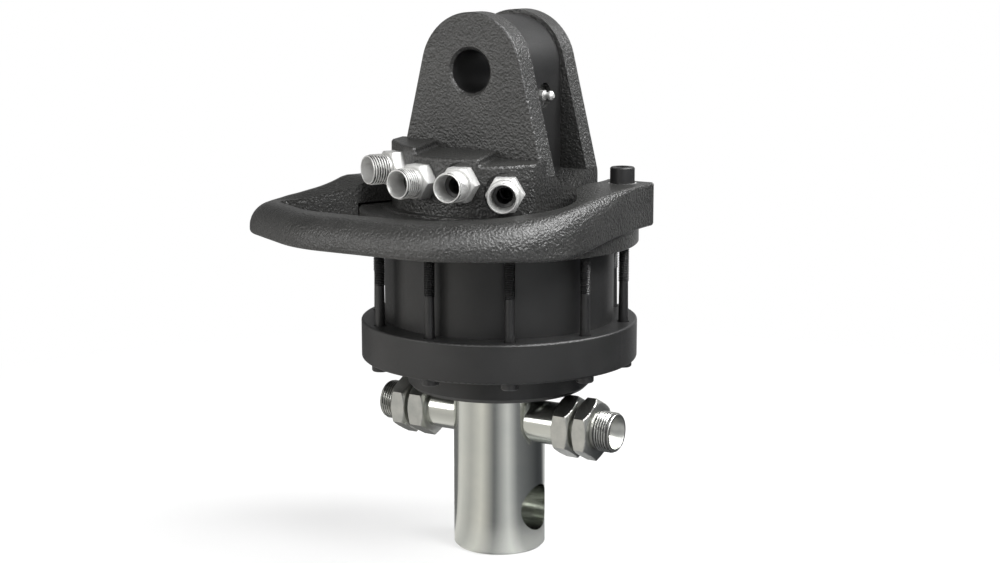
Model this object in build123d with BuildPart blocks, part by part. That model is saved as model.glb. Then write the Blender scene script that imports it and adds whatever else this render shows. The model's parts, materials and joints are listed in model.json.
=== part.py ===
from build123d import *
from math import acos, atan2, cos, degrees, radians, sin, sqrt
import os

# Hydraulic grapple rotator of the shaft type.
# The origin is the centre of the shaft's foot, +Z points up along the axis of turning,
# and the hose ports of the head face -Y.

# Heights above the shaft's foot
cross_hole_z = 32.8
hose_axis_z = 99.5
cap_bottom = 125.0
housing_bottom = 147.5
housing_height = 29.0
stator_height = 57.5
flange_height = 28.0
pin_axis_z = 361.0
housing_top = housing_bottom + housing_height
stator_top = housing_top + stator_height
flange_top = stator_top + flange_height

# Bearing housing, seal cap and stator
housing_radius = 103.0
housing_edge = 1.6
cap_radius = 68.5
cap_edge = 3.0
bolt_inset = 9.0
bolt_radius = 4.0
bolt_stator_gap = 4.7
bolt_circle = housing_radius - bolt_inset
stator_radius = bolt_circle - bolt_radius - bolt_stator_gap
cam_major = 62.0
cam_minor = 54.5

# Shaft, rotor and journals
shaft_radius = 34.5
shaft_foot_chamfer = 2.0
cross_hole_radius = 17.5
lower_journal_radius = 37.5
upper_journal_radius = 25.0
rotor_radius = 54.0
journal_top = 300.0
running_gap = 0.05
gallery_radius = 5.0
gallery_offset = 12.0
swivel_groove_depth = 4.0
swivel_groove_width = 8.0
swivel_port_radius = 3.5
swivel_heights = (285.5, 268.0)

# Vanes, their slots and their bow springs
vane_count = 8
vane_thickness = 5.0
vane_length = 16.0
vane_tip_gap = 0.1
slot_bottom_radius = 33.0
slot_gap = 0.05
spring_thickness = 0.8
spring_height = 2.0
spring_length = 46.0

# Bearings and seals
lower_bush_wall = 4.5
lower_bush_length = 10.0
thrust_width = 13.5
thrust_roller_end_gap = 2.25
thrust_outer_radius = lower_journal_radius + thrust_width
thrust_washer = 4.5
thrust_roller_radius = 4.5
thrust_roller_length = thrust_width - 2 * thrust_roller_end_gap
thrust_roller_count = 18
thrust_gap = 0.05
cage_thickness = 5.0
upper_bush_wall = 5.0
upper_bush_length = 18.0
upper_bush_bottom = 236.0
seal_wall = 7.5
seal_height = 10.0
seal_bottom = 133.0
wiper_wall = 6.0
wiper_height = 6.0
lip_gap = 0.05
swivel_seal_width = 5.0
swivel_seal_depth = 4.0
swivel_seal_heights = (294.0, 276.7, 259.0)
face_seal_width = 3.0
face_seal_land = 6.3
face_seal_radius = stator_radius - face_seal_land - face_seal_width

# Housing bolts and cap screws
bolt_count = 10
bolt_head_radius = 6.5
bolt_head_height = 8.0
bolt_head_recess = 3.0
bolt_clearance = 0.5
bolt_grip = 14.0
socket_share = 0.5
cap_screw_count = 6
cap_screw_circle = 59.0
cap_screw_radius = 3.0
cap_screw_head = 5.0
cap_screw_length = 14.0

# Head: flange, manifold block, lug and pin bore
flange_margin = 9.5
flange_radius = bolt_circle + flange_margin
flange_edge = 2.5
block_half_width = 61.0
block_front_radius = 79.4
block_steps_rear = (-29.5, 21.5)
block_steps_front = (-23.5, 30.5)
block_heights = (49.0, 43.8, 38.5)
block_slope = 3.2
block_edge = 2.2
foot_ledge = 8.0
foot_ledge_height = 1.5
lug_width = 80.0
ear_inner = 22.8
ear_radius = 42.0
ear_kink_height = 26.5
ear_edge = 1.6
web_radius = 38.7
recess_floor = 14.5
recess_corner = 11.5
pin_radius = 15.7
pin_chamfer = 2.0
nipple_z = 342.8
nipple_pocket_radius = 9.0
nipple_pocket_depth = 4.0
nipple_flats = 7.0

# Hose ports of the head
port_angles = (-26.0, -9.0, 9.0, 26.0)
port_heights = (291.8, 285.5, 285.5, 279.0)
port_fan_y = 28.0
port_seat_depth = 1.2
port_seat_radius = block_front_radius - port_seat_depth
port_hex_flats = 24.0
port_hex_thickness = 11.0
port_neck = 2.5
port_neck_radius = 9.8
port_thread_radius = 11.0
port_thread_length = 13.0
port_stud_radius = 10.4
port_stud_length = 12.0
port_bore_radius = 5.8
port_cone_radius = 9.4
port_cone_depth = 16.0
port_cone_step = 1.1
drain_radius = 4.0
drain_circle = 56.0
swivel_drop_circle = 36.0

# Hose fittings on the shaft
tube_radius = 16.0
tube_seat_wall = 3.0
tube_end = 56.0
union_flats = 41.0
union_thickness = 14.5
union_gap = 3.0
adapter_thickness = 12.5
adapter_neck = 2.0
hose_thread_radius = 15.0
hose_thread_length = 12.5
hose_bore_radius = 8.0
hose_cone_radius = 12.0
hose_cone_depth = 10.0
hex_edge_share = 0.94

# Hose guard: its heights, its bar in plan, its left arm and tip, and its screws
guard_tab_height = 18.5
guard_bar_height = 1.7
guard_drop = 21.0
guard_rear = 40.0
guard_seat_rise = 15.3
guard_outer_round = 18.0
guard_lower_round = 3.0
guard_flange_gap = 0.8
guard_block_gap = 10.0
guard_side_margin = 4.0
guard_reach = 43.5
guard_corner = 100.0
guard_loop_inset = 8.5
guard_loop_reach = 14.0
guard_loop_corner = 112.5
guard_seam = -40.0
guard_shoulder_inset = 23.5
guard_shoulder_round = 90.0
guard_tip_reach = 86.0
guard_tip_inset = 17.3
guard_tip_round = 34.0
guard_neck_reach = 14.5
guard_neck_inset = 67.5
guard_neck_round = 30.0
guard_left_margin = 9.5
guard_rise_start = 23.5 - flange_radius
guard_rise_end = guard_rise_start + 36
guard_rise_round = 30.0
guard_crest_round = 40.0
guard_foot_start = guard_rise_start + 34
guard_foot_end = guard_foot_start + 30
guard_foot_rise = 8.0
guard_top = flange_top + guard_tab_height
guard_bar_top = flange_top + guard_bar_height
guard_bottom = flange_top - guard_drop
guard_seat = guard_bar_top + guard_seat_rise
guard_side = flange_radius + guard_side_margin
guard_front = flange_radius + guard_reach
guard_loop_side = flange_radius - guard_loop_inset
guard_loop_front = flange_radius + guard_loop_reach
guard_tab_inner = block_half_width + guard_block_gap
guard_screw_x = flange_radius - 15.5
guard_screw_y = 28.0
guard_screw_radius = 6.0
guard_screw_head = 9.0
guard_screw_head_height = 12.0
guard_screw_grip = 12.0
guard_hole_gap = 0.5
spot_face_radius = 11.0

os.makedirs("parts", exist_ok=True)


def reach(angle, radius):
    """Distance from the fan's centre, along a port's axis, to a radius about the main axis."""
    side = port_fan_y * sin(radians(angle))
    return port_fan_y * cos(radians(angle)) + sqrt(radius**2 - side**2)


def port_plane(angle, height, distance):
    """A plane on a port's axis, at a distance from the fan's centre, facing outwards."""
    direction = Vector(sin(radians(angle)), -cos(radians(angle)), 0)
    origin = Vector(0, port_fan_y, height) + direction * distance
    return Plane(origin=origin, z_dir=direction, x_dir=(cos(radians(angle)), sin(radians(angle)), 0))


def save(part, name):
    part.label = name
    export_step(part, f"parts/{name}.step")


# Shaft with rotor and upper journal, one forging
foot_collar = cap_bottom + 1.0
slot_width = vane_thickness + 2 * slot_gap
tube_root = gallery_offset + gallery_radius + tube_seat_wall
with BuildPart() as rotor_shaft:
    with BuildSketch(Plane.XZ):
        with BuildLine():
            Polyline(
                (0, 0),
                (shaft_radius - shaft_foot_chamfer, 0),
                (shaft_radius, shaft_foot_chamfer),
                (shaft_radius, foot_collar),
                (lower_journal_radius, foot_collar + lower_journal_radius - shaft_radius),
                (lower_journal_radius, housing_top + running_gap),
                (rotor_radius, housing_top + running_gap),
                (rotor_radius, stator_top - running_gap),
                (upper_journal_radius, stator_top - running_gap),
                (upper_journal_radius, journal_top - 1),
                (upper_journal_radius - 1, journal_top),
                (0, journal_top),
                close=True,
            )
        make_face()
    revolve(axis=Axis.Z)
    for height in swivel_heights:
        with BuildSketch(Plane.XY.offset(height - swivel_groove_width / 2)):
            Circle(upper_journal_radius)
            Circle(upper_journal_radius - swivel_groove_depth, mode=Mode.SUBTRACT)
        extrude(amount=swivel_groove_width, mode=Mode.SUBTRACT)
    slot_depth = rotor_radius - slot_bottom_radius + 1
    with BuildSketch(Plane.XY.offset(housing_top + running_gap)):
        with PolarLocations(slot_bottom_radius + slot_depth / 2, vane_count):
            Rectangle(slot_depth, slot_width)
    extrude(amount=stator_height - 2 * running_gap, mode=Mode.SUBTRACT)
    with BuildSketch(Plane.YZ):
        with Locations((0, cross_hole_z)):
            Circle(cross_hole_radius)
    extrude(amount=2 * shaft_radius, both=True, mode=Mode.SUBTRACT)
    for side, height in zip((1, -1), swivel_heights):
        with BuildSketch(Plane.XY.offset(hose_axis_z)):
            with Locations((side * gallery_offset, 0)):
                Circle(gallery_radius)
        extrude(amount=height + swivel_port_radius + 1 - hose_axis_z, mode=Mode.SUBTRACT)
        with BuildSketch(Plane.YZ.offset(side * gallery_offset)):
            with Locations((0, height)):
                Circle(swivel_port_radius)
        extrude(amount=side * upper_journal_radius, mode=Mode.SUBTRACT)
        with BuildSketch(Plane.YZ.offset(side * (gallery_offset - gallery_radius - 2))):
            with Locations((0, hose_axis_z)):
                Circle(hose_bore_radius)
        extrude(amount=side * shaft_radius, mode=Mode.SUBTRACT)
        with BuildSketch(Plane.YZ.offset(side * tube_root)):
            with Locations((0, hose_axis_z)):
                Circle(tube_radius)
        extrude(amount=side * shaft_radius, mode=Mode.SUBTRACT)
save(rotor_shaft.part, "rotor_shaft")

# Sliding vanes, drawn at the cam's smallest radius
vane_tip = cam_minor - vane_tip_gap
vane_centre = vane_tip - vane_length / 2
for number in range(vane_count):
    with BuildPart() as vane:
        with BuildSketch(Plane.XY.offset(housing_top + 2 * running_gap)):
            with PolarLocations(vane_centre, 1, start_angle=number * 360 / vane_count):
                Rectangle(vane_length, vane_thickness)
        extrude(amount=stator_height - 4 * running_gap)
        tip_edges = vane.edges().filter_by(Axis.Z).filter_by(
            lambda e: Vector(e.center().X, e.center().Y, 0).length > vane_centre
        )
        fillet(tip_edges, radius=vane_thickness / 2 - 0.6)
    save(vane.part, f"vane_{number + 1}")

# Bow springs in the bottoms of the vane slots
bow_chord = spring_length / 2
with BuildPart() as vane_springs:
    for number in range(vane_count):
        turn = radians(number * 360 / vane_count)
        outward = Vector(cos(turn), sin(turn), 0)
        side_plane = Plane(
            origin=outward * slot_bottom_radius + Vector(0, 0, (housing_top + stator_top) / 2),
            x_dir=outward,
            z_dir=outward.cross(Vector(0, 0, 1)),
        )
        with BuildSketch(side_plane):
            with BuildLine():
                ThreePointArc(
                    (0, -bow_chord), (spring_height - spring_thickness, 0), (0, bow_chord)
                )
                Line((0, bow_chord), (spring_thickness, bow_chord))
                ThreePointArc(
                    (spring_thickness, bow_chord), (spring_height, 0), (spring_thickness, -bow_chord)
                )
                Line((spring_thickness, -bow_chord), (0, -bow_chord))
            make_face()
        extrude(amount=vane_thickness / 2 - 0.3, both=True)
save(vane_springs.part, "vane_springs")

# Stator ring with its oval cam bore
with BuildPart() as stator_ring:
    with BuildSketch(Plane.XY.offset(housing_top)):
        Circle(stator_radius)
        Ellipse(cam_minor, cam_major, mode=Mode.SUBTRACT)
    extrude(amount=stator_height)
save(stator_ring.part, "stator_ring")

# Bearing housing with bush bore, thrust bearing seat and bolt holes
thrust_depth = 2 * thrust_washer + 2 * thrust_roller_radius + 2 * thrust_gap
thrust_floor = housing_top - thrust_depth
bush_outer = lower_journal_radius + running_gap + lower_bush_wall
seal_groove_depth = 2.0
with BuildPart() as bearing_housing:
    with BuildSketch(Plane.XZ):
        with BuildLine():
            Polyline(
                (bush_outer, housing_bottom),
                (housing_radius, housing_bottom),
                (housing_radius, housing_top),
                (face_seal_radius + face_seal_width, housing_top),
                (face_seal_radius + face_seal_width, housing_top - seal_groove_depth),
                (face_seal_radius, housing_top - seal_groove_depth),
                (face_seal_radius, housing_top),
                (thrust_outer_radius, housing_top),
                (thrust_outer_radius, thrust_floor),
                (bush_outer, thrust_floor),
                close=True,
            )
        make_face()
    revolve(axis=Axis.Z)
    outer_edges = bearing_housing.edges().filter_by(GeomType.CIRCLE).filter_by(
        lambda e: abs(e.radius - housing_radius) < 0.01
    )
    fillet(outer_edges, radius=housing_edge)
    with BuildSketch(Plane.XY.offset(housing_bottom)):
        with PolarLocations(bolt_circle, bolt_count, start_angle=-90):
            Circle(bolt_radius + bolt_clearance)
    extrude(amount=housing_height, mode=Mode.SUBTRACT)
    with BuildSketch(Plane.XY.offset(housing_bottom)):
        with PolarLocations(bolt_circle, bolt_count, start_angle=-90):
            Circle(bolt_head_radius + bolt_clearance)
    extrude(amount=bolt_head_recess, mode=Mode.SUBTRACT)
    with BuildSketch(Plane.XY.offset(housing_bottom)):
        with PolarLocations(cap_screw_circle, cap_screw_count):
            Circle(cap_screw_radius)
    extrude(amount=cap_screw_length / 2 + 1, mode=Mode.SUBTRACT)
save(bearing_housing.part, "bearing_housing")

# Seal cap under the housing
seal_inner = lower_journal_radius + lip_gap
seal_outer = seal_inner + seal_wall
wiper_outer = seal_inner + wiper_wall
cap_lip = 2.0
with BuildPart() as seal_cap:
    with BuildSketch(Plane.XZ):
        with BuildLine():
            Polyline(
                (seal_inner + cap_lip, cap_bottom),
                (cap_radius, cap_bottom),
                (cap_radius, housing_bottom),
                (seal_outer, housing_bottom),
                (seal_outer, seal_bottom),
                (wiper_outer, seal_bottom),
                (wiper_outer, seal_bottom - wiper_height),
                (seal_inner + cap_lip, seal_bottom - wiper_height),
                close=True,
            )
        make_face()
    revolve(axis=Axis.Z)
    rim_edges = seal_cap.edges().filter_by(GeomType.CIRCLE).filter_by(
        lambda e: abs(e.radius - cap_radius) < 0.01
    )
    chamfer(rim_edges.sort_by(Axis.Z)[0], length=cap_edge)
    with BuildSketch(Plane.XY.offset(cap_bottom)):
        with PolarLocations(cap_screw_circle, cap_screw_count):
            Circle(cap_screw_radius)
    extrude(amount=housing_bottom - cap_bottom, mode=Mode.SUBTRACT)
    with BuildSketch(Plane.XY.offset(cap_bottom)):
        with PolarLocations(cap_screw_circle, cap_screw_count):
            Circle(cap_screw_head)
    extrude(
        amount=housing_bottom - cap_bottom - cap_screw_length / 2, mode=Mode.SUBTRACT
    )
save(seal_cap.part, "seal_cap")

# Cap screws, sunk in the cap from below
cap_screw_seat = housing_bottom - cap_screw_length / 2
with BuildPart() as cap_screws:
    with BuildSketch(Plane.XY.offset(cap_screw_seat)):
        with PolarLocations(cap_screw_circle, cap_screw_count):
            Circle(cap_screw_radius)
    extrude(amount=cap_screw_length)
    with BuildSketch(Plane.XY.offset(cap_screw_seat)):
        with PolarLocations(cap_screw_circle, cap_screw_count):
            Circle(cap_screw_head)
            RegularPolygon(cap_screw_head * socket_share, 6, mode=Mode.SUBTRACT)
    extrude(amount=-2 * cap_screw_radius)
    with BuildSketch(Plane.XY.offset(cap_screw_seat)):
        with PolarLocations(cap_screw_circle, cap_screw_count):
            Circle(cap_screw_head)
    extrude(amount=-cap_screw_radius)
save(cap_screws.part, "cap_screws")

# Turned rings: bushes, thrust washers and seals
rings = {
    "lower_bush": (lower_journal_radius + running_gap, bush_outer, housing_bottom, lower_bush_length),
    "shaft_seal": (seal_inner, seal_outer, seal_bottom, seal_height),
    "dust_wiper": (seal_inner, wiper_outer, seal_bottom - wiper_height, wiper_height),
    "thrust_washer_lower": (
        lower_journal_radius + running_gap, thrust_outer_radius, thrust_floor, thrust_washer
    ),
    "thrust_washer_upper": (
        lower_journal_radius,
        thrust_outer_radius - 0.5,
        housing_top + running_gap - thrust_washer,
        thrust_washer,
    ),
    "upper_bush": (
        upper_journal_radius + running_gap,
        upper_journal_radius + running_gap + upper_bush_wall,
        upper_bush_bottom,
        upper_bush_length,
    ),
    "housing_seal": (
        face_seal_radius, face_seal_radius + face_seal_width, housing_top - seal_groove_depth,
        seal_groove_depth,
    ),
    "head_seal": (
        face_seal_radius, face_seal_radius + face_seal_width, stator_top, seal_groove_depth
    ),
}
for name, (inner, outer, bottom, height) in rings.items():
    with BuildPart() as ring:
        with BuildSketch(Plane.XY.offset(bottom)):
            Circle(outer)
            Circle(inner, mode=Mode.SUBTRACT)
        extrude(amount=height)
    save(ring.part, name)

# Swivel seals around the upper journal
swivel_seal_inner = upper_journal_radius + lip_gap
with BuildPart() as swivel_seals:
    for height in swivel_seal_heights:
        with BuildSketch(Plane.XY.offset(height - swivel_seal_width / 2)):
            Circle(swivel_seal_inner + swivel_seal_depth)
            Circle(swivel_seal_inner, mode=Mode.SUBTRACT)
        extrude(amount=swivel_seal_width)
save(swivel_seals.part, "swivel_seals")

# Thrust rollers and their cage
roller_level = thrust_floor + thrust_washer + thrust_roller_radius
roller_centre = (lower_journal_radius + thrust_outer_radius) / 2
with BuildPart() as thrust_rollers:
    for number in range(thrust_roller_count):
        turn = radians(number * 360 / thrust_roller_count)
        outward = Vector(cos(turn), sin(turn), 0)
        start = outward * (roller_centre - thrust_roller_length / 2) + Vector(0, 0, roller_level)
        with BuildSketch(Plane(origin=start, z_dir=outward)):
            Circle(thrust_roller_radius)
        extrude(amount=thrust_roller_length)
save(thrust_rollers.part, "thrust_rollers")

with BuildPart() as thrust_cage:
    with BuildSketch(Plane.XY.offset(roller_level - cage_thickness / 2)):
        Circle(thrust_outer_radius - 0.3)
        Circle(lower_journal_radius + 0.6, mode=Mode.SUBTRACT)
        with PolarLocations(roller_centre, thrust_roller_count):
            Rectangle(thrust_roller_length + 0.2, 2 * thrust_roller_radius + 0.2, mode=Mode.SUBTRACT)
    extrude(amount=cage_thickness)
save(thrust_cage.part, "thrust_cage")

# Long bolts that clamp housing, stator and head together
bolt_seat = housing_bottom + bolt_head_recess
with BuildPart() as housing_bolts:
    with BuildSketch(Plane.XY.offset(bolt_seat)):
        with PolarLocations(bolt_circle, bolt_count, start_angle=-90):
            Circle(bolt_radius)
    extrude(amount=stator_top - bolt_seat + bolt_grip)
    with BuildSketch(Plane.XY.offset(bolt_seat)):
        with PolarLocations(bolt_circle, bolt_count, start_angle=-90):
            Circle(bolt_head_radius)
    extrude(amount=-bolt_head_height)
    with BuildSketch(Plane.XY.offset(bolt_seat - bolt_head_height)):
        with PolarLocations(bolt_circle, bolt_count, start_angle=-90):
            RegularPolygon(bolt_head_radius * socket_share, 6)
    extrude(amount=bolt_radius, mode=Mode.SUBTRACT)
save(housing_bolts.part, "housing_bolts")

# Lug of the head: two tapering ears joined by a round-topped web
ear_kink_z = flange_top + ear_kink_height
half_lug = lug_width / 2
kink_reach = sqrt(block_half_width**2 + (pin_axis_z - ear_kink_z) ** 2)
kink_angle = degrees(atan2(ear_kink_z - pin_axis_z, block_half_width))
ear_tangent = kink_angle + degrees(acos(ear_radius / kink_reach))
lug_foot = flange_top - 2
recess_z = flange_top + recess_floor
with BuildPart() as lug:
    with BuildSketch(Plane.XZ.offset(-half_lug)):
        with BuildLine():
            crown = CenterArc((0, pin_axis_z), ear_radius, ear_tangent, 180 - 2 * ear_tangent)
            Polyline(
                crown @ 1,
                (-block_half_width, ear_kink_z),
                (-block_half_width, lug_foot),
                (block_half_width, lug_foot),
                (block_half_width, ear_kink_z),
                crown @ 0,
            )
        make_face()
    extrude(amount=lug_width)
    ear_rims = (
        lug.edges()
        .filter_by(lambda e: abs(abs(e.center().Y) - half_lug) < 0.01)
        .filter_by(lambda e: e.center().Z > ear_kink_z + 1)
    )
    fillet(ear_rims, radius=ear_edge)
    for side in (-1, 1):
        with BuildSketch(Plane.YZ.offset(side * web_radius)):
            with BuildLine():
                Polyline(
                    (-ear_inner + recess_corner, recess_z),
                    (ear_inner - recess_corner, recess_z),
                    (ear_inner, recess_z + recess_corner),
                    (ear_inner, pin_axis_z),
                    (-ear_inner, pin_axis_z),
                    (-ear_inner, recess_z + recess_corner),
                    close=True,
                )
            make_face()
        extrude(amount=side * block_half_width, mode=Mode.SUBTRACT)
    with BuildSketch(Plane.XZ.offset(-ear_inner)):
        with Locations((0, pin_axis_z)):
            Circle(ear_radius + 5)
            Circle(web_radius, mode=Mode.SUBTRACT)
        with Locations((0, pin_axis_z - ear_radius)):
            Rectangle(4 * ear_radius, 2 * ear_radius, mode=Mode.SUBTRACT)
    extrude(amount=2 * ear_inner, mode=Mode.SUBTRACT)

# Manifold block: three bands of falling height, rounded off to the front
block_rear = half_lug - 4
block_reach = block_front_radius + 4
lines_rear = (-block_half_width, *block_steps_rear, block_half_width)
lines_front = (-block_half_width, *block_steps_front, block_half_width)
block_bands = []
for number, height in enumerate(block_heights):
    with BuildPart() as band:
        with BuildSketch(Plane.XY.offset(flange_top)):
            with BuildLine():
                Polyline(
                    (lines_rear[number], -block_rear),
                    (lines_rear[number + 1], -block_rear),
                    (lines_front[number + 1], -block_reach),
                    (lines_front[number], -block_reach),
                    close=True,
                )
            make_face()
        extrude(amount=height)
        with BuildSketch(Plane.YZ.offset(-block_half_width)):
            with BuildLine():
                Polyline(
                    (-block_rear, flange_top + height),
                    (-block_reach, flange_top + height),
                    (-block_reach, flange_top + height - block_slope),
                    close=True,
                )
            make_face()
        extrude(amount=2 * block_half_width, mode=Mode.SUBTRACT)
    block_bands.append(band.part)

with BuildPart() as block:
    for band_part in block_bands:
        add(band_part)
    with BuildSketch(Plane.XY.offset(flange_top)):
        Rectangle(4 * block_front_radius, 4 * block_front_radius)
        Circle(block_front_radius, mode=Mode.SUBTRACT)
    extrude(amount=2 * max(block_heights), mode=Mode.SUBTRACT)
    crest = flange_top + min(block_heights) - 2 * block_slope
    step_edges = (
        block.edges()
        .filter_by(GeomType.LINE)
        .filter_by(lambda e: abs(e.center().X) < block_half_width - block_edge)
        .filter_by(lambda e: e.center().Z > crest and abs(e.tangent_at(0.5).Y) > 0.9)
    )
    fillet(step_edges, radius=block_edge)
    front_edges = (
        block.edges()
        .filter_by(lambda e: e.center().Z > crest and abs(e.tangent_at(0.5).Z) < 0.8)
        .filter_by(
            lambda e: Vector(e.center().X, e.center().Y, 0).length
            > block_front_radius - 2 * block_edge
        )
        .filter_by(lambda e: abs(e.tangent_at(0.5).Y) < 0.9 or abs(e.center().X) < block_half_width - 1)
        .filter_by(lambda e: e.center().Y < -block_front_radius / 2)
    )
    fillet(front_edges, radius=block_edge)

# Head casting: flange, manifold block and lug
with BuildPart() as head:
    with BuildSketch(Plane.XY.offset(stator_top)):
        Circle(flange_radius)
    extrude(amount=flange_height - foot_ledge_height)
    rim = head.edges().filter_by(GeomType.CIRCLE).sort_by(Axis.Z)
    fillet(rim[-1], radius=flange_edge)
    chamfer(rim[0], length=1)
    with BuildSketch(Plane.XY.offset(flange_top - foot_ledge_height)):
        Circle(block_front_radius + foot_ledge)
        with Locations((0, half_lug + foot_ledge - 2 * flange_radius)):
            Rectangle(2 * (block_half_width + foot_ledge), 4 * flange_radius, mode=Mode.INTERSECT)
    extrude(amount=foot_ledge_height)
    add(block.part)
    add(lug.part)
    with BuildSketch(Plane.XZ.offset(-half_lug)):
        with Locations((0, pin_axis_z)):
            Circle(pin_radius)
    extrude(amount=lug_width, mode=Mode.SUBTRACT)
    pin_rims = head.edges().filter_by(GeomType.CIRCLE).filter_by(
        lambda e: abs(e.radius - pin_radius) < 0.01 and abs(abs(e.center().Y) - half_lug) < 0.01
    )
    chamfer(pin_rims, length=pin_chamfer)
    with BuildSketch(Plane.YZ.offset(web_radius - nipple_pocket_depth)):
        with Locations((0, nipple_z)):
            Circle(nipple_pocket_radius)
    extrude(amount=nipple_pocket_depth + 1, mode=Mode.SUBTRACT)
    with BuildSketch(Plane.YZ):
        with Locations((0, nipple_z)):
            Circle(3)
    extrude(amount=web_radius, mode=Mode.SUBTRACT)
    bore_radius = upper_journal_radius + running_gap
    with BuildSketch(Plane.XY.offset(stator_top)):
        Circle(bore_radius)
    extrude(amount=journal_top + 1 - stator_top, mode=Mode.SUBTRACT)
    with BuildSketch(Plane.XY.offset(upper_bush_bottom)):
        Circle(bore_radius + upper_bush_wall)
    extrude(amount=upper_bush_length, mode=Mode.SUBTRACT)
    with BuildSketch(Plane.XY.offset(stator_top)):
        Circle(bore_radius + upper_bush_wall)
    extrude(amount=upper_bush_bottom - stator_top, mode=Mode.SUBTRACT)
    for height in swivel_seal_heights:
        with BuildSketch(Plane.XY.offset(height - swivel_seal_width / 2)):
            Circle(swivel_seal_inner + swivel_seal_depth)
        extrude(amount=swivel_seal_width, mode=Mode.SUBTRACT)
    with BuildSketch(Plane.XY.offset(stator_top)):
        Circle(face_seal_radius + face_seal_width)
        Circle(face_seal_radius, mode=Mode.SUBTRACT)
    extrude(amount=seal_groove_depth, mode=Mode.SUBTRACT)
    with BuildSketch(Plane.XY.offset(stator_top)):
        with PolarLocations(bolt_circle, bolt_count, start_angle=-90):
            Circle(bolt_radius)
    extrude(amount=bolt_grip + 0.5, mode=Mode.SUBTRACT)
    with BuildSketch(Plane.XY.offset(flange_top - guard_screw_grip)):
        with Locations((guard_screw_x, guard_screw_y), (-guard_screw_x, guard_screw_y)):
            Circle(guard_screw_radius)
    extrude(amount=guard_screw_grip, mode=Mode.SUBTRACT)
    gallery_ends = (drain_circle, bore_radius - 2, swivel_drop_circle, drain_circle)
    for angle, height, end in zip(port_angles, port_heights, gallery_ends):
        seat = reach(angle, port_seat_radius)
        with BuildSketch(port_plane(angle, height, seat)):
            Circle(port_hex_flats / 2 + 3.2)
        extrude(amount=12, mode=Mode.SUBTRACT)
        with BuildSketch(port_plane(angle, height, seat)):
            Circle(port_stud_radius)
        extrude(amount=-port_stud_length, mode=Mode.SUBTRACT)
        with BuildSketch(port_plane(angle, height, seat - port_stud_length)):
            Circle(port_bore_radius - 1)
        extrude(amount=-(seat - port_stud_length - reach(angle, end)), mode=Mode.SUBTRACT)
    for angle, height in ((port_angles[0], port_heights[0]), (port_angles[3], port_heights[3])):
        spot = port_plane(angle, height, reach(angle, drain_circle)).origin
        with BuildSketch(Plane.XY.offset(stator_top)):
            with Locations((spot.X, spot.Y)):
                Circle(drain_radius)
        extrude(amount=height - stator_top, mode=Mode.SUBTRACT)
    drop = port_plane(port_angles[2], port_heights[2], reach(port_angles[2], swivel_drop_circle)).origin
    with BuildSketch(Plane.XY.offset(swivel_heights[1])):
        with Locations((drop.X, drop.Y)):
            Circle(drain_radius)
    extrude(amount=port_heights[2] - swivel_heights[1], mode=Mode.SUBTRACT)
    with BuildSketch(Plane(origin=(drop.X, drop.Y, swivel_heights[1]), z_dir=(-drop.X, -drop.Y, 0))):
        Circle(drain_radius)
    extrude(amount=swivel_drop_circle - bore_radius + 3, mode=Mode.SUBTRACT)
save(head.part, "head")

# Straight adapters screwed into the head, hexes level on top
port_face = port_hex_thickness + port_neck + port_thread_length
for number, (angle, height) in enumerate(zip(port_angles, port_heights), start=1):
    seat = reach(angle, port_seat_radius)
    with BuildPart() as port_adapter:
        with BuildSketch(port_plane(angle, height, seat)):
            RegularPolygon(port_hex_flats / 2, 6, major_radius=False, rotation=30)
        extrude(amount=port_hex_thickness)
        cone_top = port_hex_flats / 2 / cos(radians(30))
        with BuildSketch(port_plane(angle, height, seat)):
            Circle(cone_top * hex_edge_share + 2)
        extrude(amount=port_hex_thickness, taper=0, mode=Mode.INTERSECT)
        with BuildSketch(port_plane(angle, height, seat)):
            Circle(port_stud_radius)
        extrude(amount=-port_stud_length)
        with BuildSketch(port_plane(angle, height, seat + port_hex_thickness)):
            Circle(port_neck_radius)
        extrude(amount=port_neck)
        with BuildSketch(port_plane(angle, height, seat + port_hex_thickness + port_neck)):
            Circle(port_thread_radius)
        extrude(amount=port_thread_length)
        thread_rim = port_adapter.edges().filter_by(GeomType.CIRCLE).filter_by(
            lambda e: abs(e.radius - port_thread_radius) < 0.01
        )
        chamfer(thread_rim, length=0.9)
        with BuildSketch(port_plane(angle, height, seat - port_stud_length)):
            Circle(port_bore_radius)
        extrude(amount=port_stud_length + port_face, mode=Mode.SUBTRACT)
        with BuildSketch(port_plane(angle, height, seat + port_face)):
            Circle(port_cone_radius)
        with BuildSketch(port_plane(angle, height, seat + port_face - port_cone_depth)):
            Circle(port_cone_radius - port_cone_step)
        loft(mode=Mode.SUBTRACT)
    save(port_adapter.part, f"port_adapter_{number}")

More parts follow.
